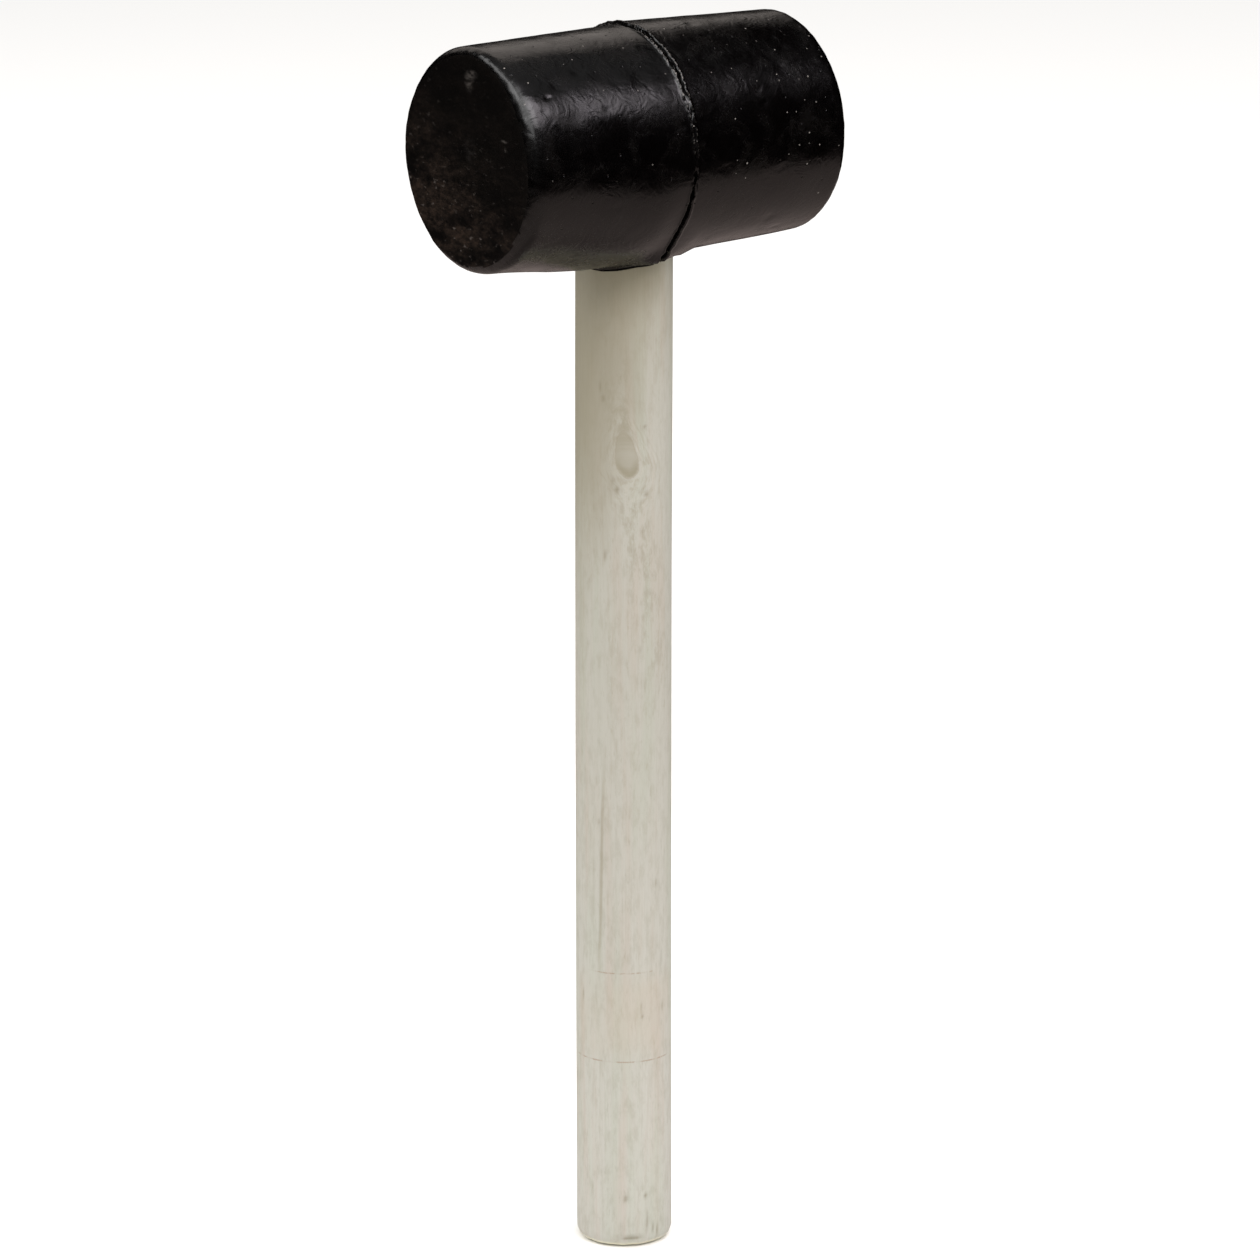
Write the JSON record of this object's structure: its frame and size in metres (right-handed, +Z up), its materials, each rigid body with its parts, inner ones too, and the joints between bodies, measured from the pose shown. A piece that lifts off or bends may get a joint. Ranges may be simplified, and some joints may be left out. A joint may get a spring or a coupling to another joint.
{
  "type": "rubber mallet",
  "caption": "Rubber mallet: a black moulded rubber barrel head on a straight round hardwood handle, for bedding paving and setting stone or joinery without marking.",
  "frame": {"origin": "centre of the handle's butt face, at the bottom of the mallet", "axes": "+Z up the handle towards the head, +X along the head out through one strike face, Y across the head's diameter"},
  "size_m": [0.105, 0.0662, 0.3496],
  "materials": {
    "black_rubber": "satin",
    "hardwood": "matte",
    "adhesive": "satin"
  },
  "bodies": {
    "root": {"rubber_head": "black_rubber", "socket_adhesive": "adhesive", "wooden_handle": "hardwood"}
  },
  "joints": []
}
